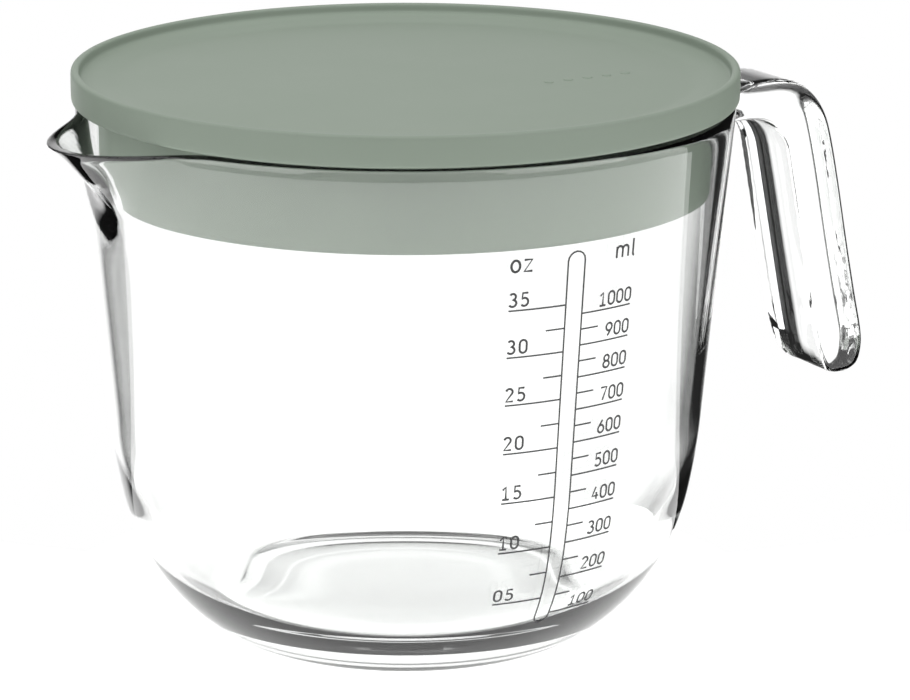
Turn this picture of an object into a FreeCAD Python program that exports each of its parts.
"""Lidded mixing and measuring bowl: a clear moulding with spout and handle, a lift-off lid,
and the two printed volume scales on its wall.

The frame: +Z is up along the bowl's axis, z = 0 is the face it stands on, +X points to the
handle, -X to the spout and -Y to the middle of the printed scales. Units are millimetres.
"""
import FreeCAD, Part
import math
import os

# Bowl wall, as (radius, height) points on the outside and the inside faces.
RIM_HEIGHT = 120.0
FOOT_RADIUS = 42.4
FLOOR_HEIGHT = 3.3
FLOOR_RADIUS = 22.0
# A wall starts at its first point with a heading in degrees above level, runs in arcs that each
# carry on smoothly to the next point, and ends in a straight flare to its last point.
OUTER_WALL = [(FOOT_RADIUS, 0.0), (45.2, 1.1), (61.4, 21.0), (64.8, 32.0), (67.1, 48.0), (73.3, 118.4)]
INNER_WALL = [(FLOOR_RADIUS, FLOOR_HEIGHT), (36.0, 4.4), (48.0, 8.8), (59.2, 22.7), (62.3, 33.0),
              (64.5, 48.4), (70.4, 118.4)]
OUTER_START = 8.0
INNER_START = 0.0

# Pouring spout: its bulge grows from nothing at SPOUT_FOOT to SPOUT_REACH at the rim.
SPOUT_FOOT = 101.5
SPOUT_REACH = 15.3
SPOUT_TOP_RADIUS = 20.0
SPOUT_FOOT_RADIUS = 5.0
SPOUT_WALL = 2.4
# The lip in side view, dipping from the rim to the tip and on past it, as (distance out, height).
SPOUT_LIP = [(69.6, RIM_HEIGHT), (73.6, 118.3), (86.4, 117.3), (100.0, 116.2)]

# Handle: a bar bent down from the rim, with a free lower end. Its outline in side view is two
# chains of a bend and an end, each an arc through three (distance out, height) points.
HANDLE_WIDTH = 21.4
HANDLE_TOP = 115.0
HANDLE_UNDERSIDE = 106.8
HANDLE_ROOT = 69.0
OUTER_BEND = [(95.5, HANDLE_TOP), (105.36, 111.5), (110.85, 102.6)]
OUTER_END = [(122.35, 48.7), (121.22, 43.63), (116.55, 41.4)]
INNER_END = [(115.0, 41.4), (110.58, 42.97), (108.16, 46.98)]
INNER_BEND = [(98.0, 96.5), (93.55, 103.9), (85.4, HANDLE_UNDERSIDE)]
OUTER_EDGE_RADIUS = 4.4
INNER_EDGE_RADIUS = 1.6
# The web that spreads the handle into the rim: half of its outline seen from above.
WEB_CURVE = [(72.6, 13.4), (77.2, 11.8), (86.0, 9.4)]
WEB_INNER_RADIUS = 66.0
WEB_SET_IN = 2.0

# Lid: a dished plate with a raised lip, and a skirt that plugs the bowl's mouth.
LID_GAP = 0.3
LID_RADIUS = 74.0
LID_TOP = 127.2
LIP_WIDTH = 1.9
DISH_TOP = 124.2
DISH_RADIUS = 68.6
PLATE = 2.0
SKIRT_RADIUS = 68.1
SKIRT_BOTTOM = 101.0
SKIRT_WALL = 1.8

# Printed scales. One US fluid ounce is 29.5735 ml.
OUNCE = 29.5735
ML_MARKS = range(100, 1001, 100)
OZ_MARKS = range(5, 36, 5)
INK_LIFT = 0.03
INK = 0.12
LINE_WEIGHT = 0.32
WINDOW_ANGLE = 3.3
LONG_LINE_ANGLE = 10.6
SHORT_LINE_ANGLE = 3.6
WINDOW_BOTTOM = 14.3
WINDOW_TOP = 100.3
FIGURE_HEIGHT = 3.1
FIGURE_WIDTH = 1.55
FIGURE_PITCH = 2.15
FIGURE_WEIGHT = 0.3
FIGURE_CLEAR = 0.75

UP = FreeCAD.Vector(0, 0, 1)
ORIGIN = FreeCAD.Vector(0, 0, 0)


def at(radius, height, angle=0.0):
    """A point by radius, height and angle in degrees from +X."""
    turn = math.radians(angle)
    return FreeCAD.Vector(radius * math.cos(turn), radius * math.sin(turn), height)


def turned(edges):
    """The solid swept by a closed half profile turned once round the bowl's axis."""
    return Part.Face(Part.Wire(edges)).revolve(ORIGIN, UP, 360)


def line(a, b):
    return Part.LineSegment(a, b).toShape()


def arc(a, middle, b):
    return Part.Arc(a, middle, b).toShape()


def wall_arcs(points, heading):
    """The wall's arcs as (centre radius, centre height, arc radius, start, middle, end)."""
    heading = math.radians(heading)
    arcs = []
    for start, end in zip(points[:-2], points[1:-1]):
        chord = math.atan2(end[1] - start[1], end[0] - start[0])
        half = chord - heading
        radius = math.dist(start, end) / 2 / math.sin(half)
        centre_r = start[0] - radius * math.sin(heading)
        centre_z = start[1] + radius * math.cos(heading)
        middle = (centre_r + radius * math.sin(chord), centre_z - radius * math.cos(chord))
        arcs.append((centre_r, centre_z, radius, start, middle, end))
        heading += 2 * half
    return arcs


OUTER_ARCS = wall_arcs(OUTER_WALL, OUTER_START)
INNER_ARCS = wall_arcs(INNER_WALL, INNER_START)


def radius_at(arcs, flare_end, height):
    """The wall's radius at a height, on its arcs or on the straight flare above them."""
    for centre_r, centre_z, radius, _, _, end in arcs:
        if height <= end[1]:
            return centre_r + math.sqrt(max(radius ** 2 - (height - centre_z) ** 2, 0))
    foot = arcs[-1][5]
    share = (height - foot[1]) / (flare_end[1] - foot[1])
    return foot[0] + (flare_end[0] - foot[0]) * share


def outer_radius(height):
    return radius_at(OUTER_ARCS, OUTER_WALL[-1], height)


def inner_radius(height):
    return radius_at(INNER_ARCS, INNER_WALL[-1], height)


def wall_edges(arcs, flare_end):
    edges = [arc(at(*start), at(*middle), at(*end)) for _, _, _, start, middle, end in arcs]
    return edges + [line(at(*arcs[-1][5]), at(*flare_end))]


def outer_body():
    """The bowl's outside, as if it were full to the rim."""
    top_r, top_z = OUTER_WALL[-1]
    lip_r = (top_r + INNER_WALL[-1][0]) / 2
    bend = at(top_r - 0.45, RIM_HEIGHT - 0.45)
    shoulder = at(lip_r, RIM_HEIGHT)
    return turned([line(ORIGIN, at(FOOT_RADIUS, 0))] + wall_edges(OUTER_ARCS, OUTER_WALL[-1])
                  + [arc(at(top_r, top_z), bend, shoulder), line(shoulder, at(0, RIM_HEIGHT)),
                   line(at(0, RIM_HEIGHT), ORIGIN)])


def hollow():
    """The space inside the bowl, running out above the rim, with the rim's inner rounding."""
    top_r, top_z = INNER_WALL[-1]
    lip_r = (top_r + OUTER_WALL[-1][0]) / 2
    bend = at(top_r + 0.45, RIM_HEIGHT - 0.45)
    shoulder = at(lip_r, RIM_HEIGHT)
    floor = at(0, FLOOR_HEIGHT)
    return turned([line(floor, at(FLOOR_RADIUS, FLOOR_HEIGHT))] + wall_edges(INNER_ARCS, INNER_WALL[-1])
                  + [arc(at(top_r, top_z), bend, shoulder), line(shoulder, at(lip_r, RIM_HEIGHT + 5)),
                   line(at(lip_r, RIM_HEIGHT + 5), at(0, RIM_HEIGHT + 5)),
                   line(at(0, RIM_HEIGHT + 5), floor)])


def spout_solid(inset, top):
    """The spout's outside, or its channel when inset by the wall: a leaning cone about -X."""
    rings = []
    for height, reach, radius in ((SPOUT_FOOT, 0.0, SPOUT_FOOT_RADIUS),
                                  (RIM_HEIGHT, SPOUT_REACH, SPOUT_TOP_RADIUS)):
        tip = outer_radius(height) + reach
        rings.append((height, tip, radius))
    (low_z, low_tip, low_radius), (high_z, high_tip, high_radius) = rings
    beyond = (top - high_z) / (high_z - low_z)
    high_tip += (high_tip - low_tip) * beyond
    high_radius += (high_radius - low_radius) * beyond
    wires = []
    for height, tip, radius in ((low_z, low_tip, low_radius), (top, high_tip, high_radius)):
        centre = FreeCAD.Vector(radius - tip, 0, height)
        wires.append(Part.Wire(Part.makeCircle(radius - inset, centre)))
    return Part.makeLoft(wires, True, True)


def above_spout_lip():
    """What is cut off above the spout so that its lip dips towards the tip."""
    clear = RIM_HEIGHT + 15
    side = [at(-out, height) for out, height in SPOUT_LIP]
    side += [at(-SPOUT_LIP[-1][0], clear), at(-SPOUT_LIP[0][0], clear), side[0]]
    half_width = 45.0
    face = Part.Face(Part.makePolygon(side))
    face.translate(FreeCAD.Vector(0, -half_width, 0))
    return face.extrude(FreeCAD.Vector(0, 2 * half_width, 0))


def arc_through(points):
    return arc(*[at(out, height) for out, height in points])


def rounded_bar(edges, radius):
    """A side outline made as wide as the handle, with the edges beyond its root rounded."""
    side = Part.Face(Part.Wire(edges))
    side.translate(FreeCAD.Vector(0, -HANDLE_WIDTH / 2, 0))
    bar = side.extrude(FreeCAD.Vector(0, HANDLE_WIDTH, 0))
    long_edges = [e for e in bar.Edges if e.BoundBox.YLength < 0.01 and e.BoundBox.XMax > HANDLE_ROOT + 1]
    return bar.makeFillet(radius, long_edges)


def handle_bar():
    """The bent bar: boldly rounded on its outer side, and slightly on the side facing the bowl."""
    root_top = at(HANDLE_ROOT, HANDLE_TOP)
    root_low = at(HANDLE_ROOT, HANDLE_UNDERSIDE)
    outer_side = [line(root_top, at(*OUTER_BEND[0])), arc_through(OUTER_BEND),
                  line(at(*OUTER_BEND[-1]), at(*OUTER_END[0])), arc_through(OUTER_END)]
    inner_side = [line(at(*OUTER_END[-1]), at(*INNER_END[0])), arc_through(INNER_END),
                  line(at(*INNER_END[-1]), at(*INNER_BEND[0])), arc_through(INNER_BEND),
                  line(at(*INNER_BEND[-1]), root_low), line(root_low, root_top)]
    below = at(HANDLE_ROOT, OUTER_END[-1][1])
    filled_in = [line(at(*OUTER_END[-1]), below), line(below, root_top)]
    bar = rounded_bar(outer_side + inner_side, INNER_EDGE_RADIUS)
    return bar.common(rounded_bar(outer_side + filled_in, OUTER_EDGE_RADIUS))


def handle_web():
    """The web that spreads the handle's top into the rim on both sides."""
    low, high = HANDLE_UNDERSIDE + WEB_SET_IN, HANDLE_TOP - WEB_SET_IN
    right = [FreeCAD.Vector(x, -y, low) for x, y in WEB_CURVE]
    left = [FreeCAD.Vector(x, y, low) for x, y in WEB_CURVE]
    back_right = FreeCAD.Vector(WEB_INNER_RADIUS, right[0].y, low)
    back_left = FreeCAD.Vector(WEB_INNER_RADIUS, left[0].y, low)
    outline = [line(back_left, back_right), line(back_right, right[0]), arc(*right),
               line(right[-1], left[-1]), arc(*left[::-1]), line(left[0], back_left)]
    return Part.Face(Part.Wire(outline)).extrude(FreeCAD.Vector(0, 0, high - low))


def bowl():
    body = outer_body()
    body = body.fuse(spout_solid(0.0, RIM_HEIGHT))
    body = body.cut(above_spout_lip())
    body = body.fuse([handle_bar(), handle_web()])
    body = body.cut(hollow())
    body = body.cut(spout_solid(SPOUT_WALL, RIM_HEIGHT + 4))
    return body.removeSplitter()


def lid():
    under = RIM_HEIGHT + LID_GAP
    inner_lip = LID_RADIUS - LIP_WIDTH
    plate_under = DISH_TOP - PLATE
    skirt_in = SKIRT_RADIUS - SKIRT_WALL
    outline = [
        at(0, DISH_TOP), at(DISH_RADIUS, DISH_TOP), at(inner_lip, DISH_TOP + 1.0),
        at(inner_lip, LID_TOP - 0.3), at(inner_lip + 0.3, LID_TOP), at(LID_RADIUS - 0.5, LID_TOP),
        at(LID_RADIUS, LID_TOP - 0.5), at(LID_RADIUS, under), at(SKIRT_RADIUS + 0.2, under),
        at(SKIRT_RADIUS, under - 3), at(SKIRT_RADIUS - 0.15, SKIRT_BOTTOM + 0.8),
        at(SKIRT_RADIUS - 0.6, SKIRT_BOTTOM), at(skirt_in, SKIRT_BOTTOM),
        at(skirt_in, plate_under), at(0, plate_under), at(0, DISH_TOP)]
    return turned([line(a, b) for a, b in zip(outline, outline[1:])])


def volume_below(height):
    """Millilitres held below a height, in thin discs."""
    discs = 120
    depth = (height - FLOOR_HEIGHT) / discs
    radii = [inner_radius(FLOOR_HEIGHT + depth * (i + 0.5)) for i in range(discs)]
    return sum(math.pi * r * r for r in radii) * depth / 1000.0


def height_of(millilitres):
    """The level that a volume of liquid reaches."""
    low, high = FLOOR_HEIGHT, 115.0
    for _ in range(18):
        middle = (low + high) / 2
        if volume_below(middle) < millilitres:
            low = middle
        else:
            high = middle
    return low


def wall_frame(angle, height):
    """A point on the wall with its outward, sideways and up-the-wall directions."""
    radius = outer_radius(height)
    slope = (outer_radius(height + 0.5) - outer_radius(height - 0.5))
    outward = at(1, -slope, angle).normalize()
    sideways = at(1, 0, angle + 90)
    upward = outward.cross(sideways)
    return at(radius, height, angle), outward, sideways, upward


def ink_stroke(angle, height, start, end, weight):
    """A flat bar of ink on the wall between two (sideways, upward) offsets from a point."""
    here = math.degrees((start[0] + end[0]) / 2 / outer_radius(height))
    middle_up = (start[1] + end[1]) / 2
    place, outward, sideways, upward = wall_frame(angle + here, height + middle_up)
    run = sideways * (end[0] - start[0]) + upward * (end[1] - start[1])
    half = run.normalize() * (math.dist(start, end) / 2 + weight / 2)
    side = outward.cross(half).normalize() * (weight / 2)
    base = place + outward * INK_LIFT
    corners = [base + half + side, base + half - side, base - half - side, base - half + side]
    return Part.Face(Part.makePolygon(corners + corners[:1])).extrude(outward * INK)


def ink_ring_line(angle, sweep, height):
    """A level line of ink running round the wall from an angle."""
    place, outward, _, upward = wall_frame(0, height)
    base = place + outward * INK_LIFT
    half = upward * (LINE_WEIGHT / 2)
    corners = [base - half, base + half, base + half + outward * INK, base - half + outward * INK]
    face = Part.Face(Part.makePolygon(corners + corners[:1]))
    band = face.revolve(ORIGIN, UP, sweep)
    band.rotate(ORIGIN, UP, angle)
    return band


def scale_lines(levels, half_levels, side):
    """Long lines at the figures and short ones half-way, on one side of the level window."""
    start = -90 + side * WINDOW_ANGLE / 2
    lines = []
    for heights, sweep in ((levels, LONG_LINE_ANGLE), (half_levels, SHORT_LINE_ANGLE)):
        for height in heights:
            first = start if side > 0 else start - sweep
            lines.append(ink_ring_line(first, sweep, height))
    return Part.makeCompound(lines)


def window_side(angle):
    """One upright line of the level window, following the wall."""
    steps = 26
    low, high = WINDOW_BOTTOM + 2, WINDOW_TOP - 2
    inside, outside = [], []
    for i in range(steps + 1):
        place, outward, _, _ = wall_frame(0, low + (high - low) * i / steps)
        inside.append(place + outward * INK_LIFT)
        outside.append(place + outward * (INK_LIFT + INK))
    corners = inside + outside[::-1]
    sweep = math.degrees(LINE_WEIGHT / 70.0)
    band = Part.Face(Part.makePolygon(corners + corners[:1])).revolve(ORIGIN, UP, sweep)
    band.rotate(ORIGIN, UP, angle - sweep / 2)
    return band


def level_window():
    """The long rounded outline between the two scales."""
    half = WINDOW_ANGLE / 2
    strokes = [window_side(-90 - half), window_side(-90 + half)]
    for height, up in ((WINDOW_TOP - 2, 1), (WINDOW_BOTTOM + 2, -1)):
        radius = math.radians(half) * outer_radius(height)
        turns = [math.pi * i / 8 for i in range(9)]
        points = [(radius * math.cos(t), up * radius * math.sin(t)) for t in turns]
        strokes += [ink_stroke(-90, height, a, b, LINE_WEIGHT) for a, b in zip(points, points[1:])]
    outline = strokes[0].fuse(strokes[1:])
    return outline


# Seven-stroke figures on a box one wide and two high, as runs of joined points.
GLYPHS = {
    "0": [[(0, 0), (1, 0), (1, 2), (0, 2), (0, 0)]],
    "1": [[(0.35, 1.6), (0.75, 2), (0.75, 0)]],
    "2": [[(0, 2), (1, 2), (1, 1.1), (0, 0), (1, 0)]],
    "3": [[(0, 2), (1, 2), (1, 0), (0, 0)], [(0.35, 1.05), (1, 1.05)]],
    "4": [[(0.55, 2), (0, 0.55), (1, 0.55)], [(0.8, 1.1), (0.8, 0)]],
    "5": [[(1, 2), (0, 2), (0, 1.1), (1, 1.1), (1, 0), (0, 0)]],
    "6": [[(0.8, 2), (0, 1), (0, 0), (1, 0), (1, 1.1), (0, 1.1)]],
    "7": [[(0, 2), (1, 2), (0.35, 0)]],
    "8": [[(0, 0), (1, 0), (1, 2), (0, 2), (0, 0)], [(0, 1.05), (1, 1.05)]],
    "9": [[(0.2, 0), (1, 1), (1, 2), (0, 2), (0, 0.95), (1, 0.95)]],
}


def figure(text, height, side):
    """A number standing on the outer end of its long line."""
    wall = outer_radius(height)
    line_end = math.radians(WINDOW_ANGLE / 2 + LONG_LINE_ANGLE) * wall
    width = FIGURE_PITCH * (len(text) - 1) + FIGURE_WIDTH
    first = line_end - width if side > 0 else -line_end
    strokes = []
    for place, glyph in enumerate(text):
        for run in GLYPHS[glyph]:
            points = [(first + place * FIGURE_PITCH + x * FIGURE_WIDTH,
                       FIGURE_CLEAR + y * FIGURE_HEIGHT / 2) for x, y in run]
            strokes += [ink_stroke(-90, height, a, b, FIGURE_WEIGHT)
                        for a, b in zip(points, points[1:])]
    return strokes


def figures(labels, side):
    strokes = []
    for text, height in labels:
        strokes += figure(text, height, side)
    return Part.makeCompound([strokes[0].fuse(strokes[1:])])


def nodes():
    ml = [height_of(v) for v in ML_MARKS]
    ml_half = [height_of(v + 50) for v in ML_MARKS if v < 1000]
    oz = [height_of(v * OUNCE) for v in OZ_MARKS]
    oz_half = [height_of((v + 2.5) * OUNCE) for v in OZ_MARKS if v < 35]
    return {
        "bowl": bowl(),
        "lid": lid(),
        "level_window": level_window(),
        "ml_lines": scale_lines(ml, ml_half, 1),
        "oz_lines": scale_lines(oz, oz_half, -1),
        "ml_figures": figures([(str(v), h) for v, h in zip(ML_MARKS, ml)], 1),
        "oz_figures": figures([("%02d" % v, h) for v, h in zip(OZ_MARKS, oz)], -1),
    }


os.makedirs("parts", exist_ok=True)
for name, shape in nodes().items():
    shape.exportStep("parts/" + name + ".step")
    print(name, shape.isValid(), len(shape.Solids), round(shape.Volume, 1), shape.optimalBoundingBox(False))
print("ml line heights", [round(height_of(v), 1) for v in ML_MARKS])
print("volume to the brim", round(volume_below(118.0)))
